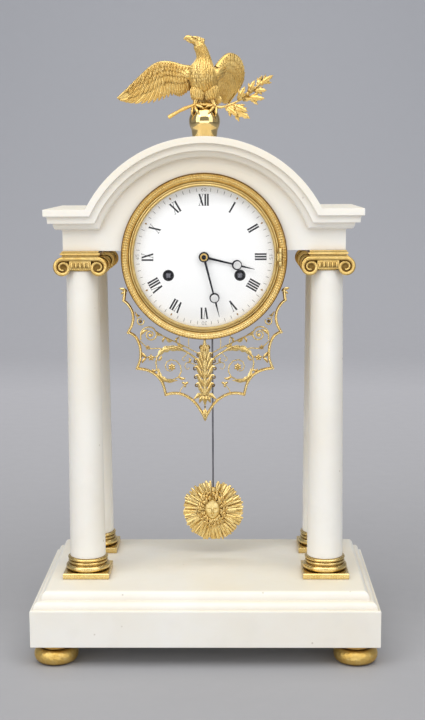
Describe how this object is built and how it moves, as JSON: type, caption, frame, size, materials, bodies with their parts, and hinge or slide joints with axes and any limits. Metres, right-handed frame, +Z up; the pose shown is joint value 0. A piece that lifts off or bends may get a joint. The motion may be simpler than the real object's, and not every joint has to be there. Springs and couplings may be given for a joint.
{
  "type": "portico clock",
  "caption": "Mantel clock with a drum movement held in a marble arch on columns, gilt mounts, a pierced apron, a swinging sunburst pendulum and an eagle finial.",
  "frame": {"origin": "on the floor, under the middle of the base block", "axes": "+Z up, the dial faces -Y, +X to the right as seen from the front"},
  "size_m": [0.266, 0.16, 0.4761],
  "materials": {
    "marble": "satin",
    "gilt_bronze": "satin",
    "brass": "satin",
    "bell_metal": "polished",
    "steel": "satin",
    "blued_steel": "gloss",
    "enamel": "gloss",
    "glass": "polished"
  },
  "bodies": {
    "case": {"base_plinth": "marble", "entablature": "marble", "column_shaft_front_left": "marble", "column_shaft_front_right": "marble", "column_shaft_back_left": "marble", "column_shaft_back_right": "marble", "feet": "gilt_bronze", "column_bases": "gilt_bronze", "bezel": "gilt_bronze", "rear_bezel": "gilt_bronze", "apron": "gilt_bronze", "finial_ball": "gilt_bronze", "eagle_body": "gilt_bronze", "eagle_right_wing": "gilt_bronze", "eagle_left_wing": "gilt_bronze", "laurel_branch": "gilt_bronze", "capital_front_left": "gilt_bronze", "capital_front_right": "gilt_bronze", "capital_back_left": "gilt_bronze", "capital_back_right": "gilt_bronze", "drum_case": "brass", "front_plate": "brass", "back_plate": "brass", "plate_pillars": "brass", "bell_stand": "brass", "suspension_cock": "brass", "bell": "bell_metal", "tie_rods": "steel", "tie_nuts": "steel", "apron_screws": "steel", "dial": "enamel"},
    "glass_frame": {"glass_frame": "gilt_bronze", "front_glass": "glass"},
    "rear_door": {"rear_door": "gilt_bronze", "rear_glass": "glass"},
    "minute_hand": {"minute_hand": "blued_steel", "cannon_pinion": "steel", "hand_collet": "gilt_bronze"},
    "minute_wheel": {"minute_wheel": "brass"},
    "hour_hand": {"hour_hand": "blued_steel", "hour_wheel": "brass"},
    "going_barrel": {"going_barrel": "brass", "going_mainspring": "steel"},
    "going_arbor": {"going_arbor": "steel"},
    "second_wheel": {"second_wheel": "brass"},
    "centre_wheel": {"centre_wheel": "brass"},
    "third_wheel": {"third_wheel": "brass"},
    "escape_wheel": {"escape_wheel": "brass"},
    "pallets": {"pallets": "steel"},
    "pendulum": {"pendulum_rod": "steel", "pendulum_bob": "gilt_bronze", "suspension_spring": "steel"},
    "strike_barrel": {"strike_barrel": "brass", "strike_mainspring": "steel"},
    "strike_arbor": {"strike_arbor": "steel"},
    "strike_wheel": {"strike_wheel": "brass", "count_wheel": "brass"},
    "pin_wheel": {"pin_wheel": "brass"},
    "fly": {"fly": "brass"},
    "hammer": {"hammer": "steel"}
  },
  "joints": [
    {"name": "glass_frame_hinge", "type": "hinge", "parent": "case", "child": "glass_frame", "pos_m": [0.0577, -0.04265, 0.3093], "axis": [0, 0, 1], "range_deg": [0, 110]},
    {"name": "rear_door_hinge", "type": "hinge", "parent": "case", "child": "rear_door", "pos_m": [0.0577, 0.06365, 0.3093], "axis": [0, 0, -1], "range_deg": [0, 110]},
    {"name": "minute_hand_turn", "type": "hinge", "parent": "case", "child": "minute_hand", "pos_m": [0, 0, 0.3093], "axis": [0, 1, 0], "continuous": true},
    {"name": "minute_wheel_turn", "type": "hinge", "parent": "case", "child": "minute_wheel", "pos_m": [-0.01014, 0, 0.32837], "axis": [0, 1, 0], "continuous": true},
    {"name": "hour_hand_turn", "type": "hinge", "parent": "case", "child": "hour_hand", "pos_m": [0, 0, 0.3093], "axis": [0, 1, 0], "continuous": true},
    {"name": "third_wheel_turn", "type": "hinge", "parent": "case", "child": "third_wheel", "pos_m": [0.0127, 0, 0.31876], "axis": [0, 1, 0], "continuous": true},
    {"name": "centre_wheel_turn", "type": "hinge", "parent": "case", "child": "centre_wheel", "pos_m": [0, 0, 0.3093], "axis": [0, 1, 0], "continuous": true},
    {"name": "second_wheel_turn", "type": "hinge", "parent": "case", "child": "second_wheel", "pos_m": [0.00222, 0, 0.29194], "axis": [0, 1, 0], "continuous": true},
    {"name": "going_barrel_turn", "type": "hinge", "parent": "case", "child": "going_barrel", "pos_m": [0.0272, 0, 0.2953], "axis": [0, 1, 0], "continuous": true},
    {"name": "escape_wheel_turn", "type": "hinge", "parent": "case", "child": "escape_wheel", "pos_m": [0.005, 0, 0.3321], "axis": [0, 1, 0], "continuous": true},
    {"name": "going_arbor_wind", "type": "hinge", "parent": "case", "child": "going_arbor", "pos_m": [0.0272, 0, 0.2953], "axis": [0, 1, 0], "range_deg": [0, 1620]},
    {"name": "pendulum_swing", "type": "hinge", "parent": "case", "child": "pendulum", "pos_m": [0.005, 0.024, 0.3447], "axis": [0, 1, 0], "range_deg": [-3.5, 3.5]},
    {"name": "pallets_rock", "type": "hinge", "parent": "case", "child": "pallets", "pos_m": [0.005, 0, 0.3447], "axis": [0, 1, 0], "range_deg": [-3.5, 3.5]},
    {"name": "pin_wheel_turn", "type": "hinge", "parent": "case", "child": "pin_wheel", "pos_m": [-0.01193, 0, 0.3348], "axis": [0, 1, 0], "continuous": true},
    {"name": "strike_wheel_turn", "type": "hinge", "parent": "case", "child": "strike_wheel", "pos_m": [-0.02068, 0, 0.31964], "axis": [0, 1, 0], "continuous": true},
    {"name": "strike_barrel_turn", "type": "hinge", "parent": "case", "child": "strike_barrel", "pos_m": [-0.0272, 0, 0.2953], "axis": [0, 1, 0], "continuous": true},
    {"name": "fly_turn", "type": "hinge", "parent": "case", "child": "fly", "pos_m": [-0.01841, 0, 0.34602], "axis": [0, 1, 0], "continuous": true},
    {"name": "strike_arbor_wind", "type": "hinge", "parent": "case", "child": "strike_arbor", "pos_m": [-0.0272, 0, 0.2953], "axis": [0, 1, 0], "range_deg": [0, 1620]},
    {"name": "hammer_lift", "type": "hinge", "parent": "case", "child": "hammer", "pos_m": [-0.033, 0, 0.3313], "axis": [0, -1, 0], "range_deg": [-5, 15]}
  ],
  "couplings": [
    {"joint": "minute_wheel_turn", "follows": "minute_hand_turn", "ratio": -0.33333},
    {"joint": "hour_hand_turn", "follows": "minute_hand_turn", "ratio": 0.083333},
    {"joint": "centre_wheel_turn", "follows": "third_wheel_turn", "ratio": -0.1},
    {"joint": "second_wheel_turn", "follows": "third_wheel_turn", "ratio": 0.016667},
    {"joint": "going_barrel_turn", "follows": "third_wheel_turn", "ratio": -0.0027778},
    {"joint": "escape_wheel_turn", "follows": "third_wheel_turn", "ratio": -10},
    {"joint": "pallets_rock", "follows": "pendulum_swing", "ratio": 1},
    {"joint": "strike_wheel_turn", "follows": "pin_wheel_turn", "ratio": -0.16667},
    {"joint": "strike_barrel_turn", "follows": "pin_wheel_turn", "ratio": 0.027778},
    {"joint": "fly_turn", "follows": "pin_wheel_turn", "ratio": -8}
  ]
}
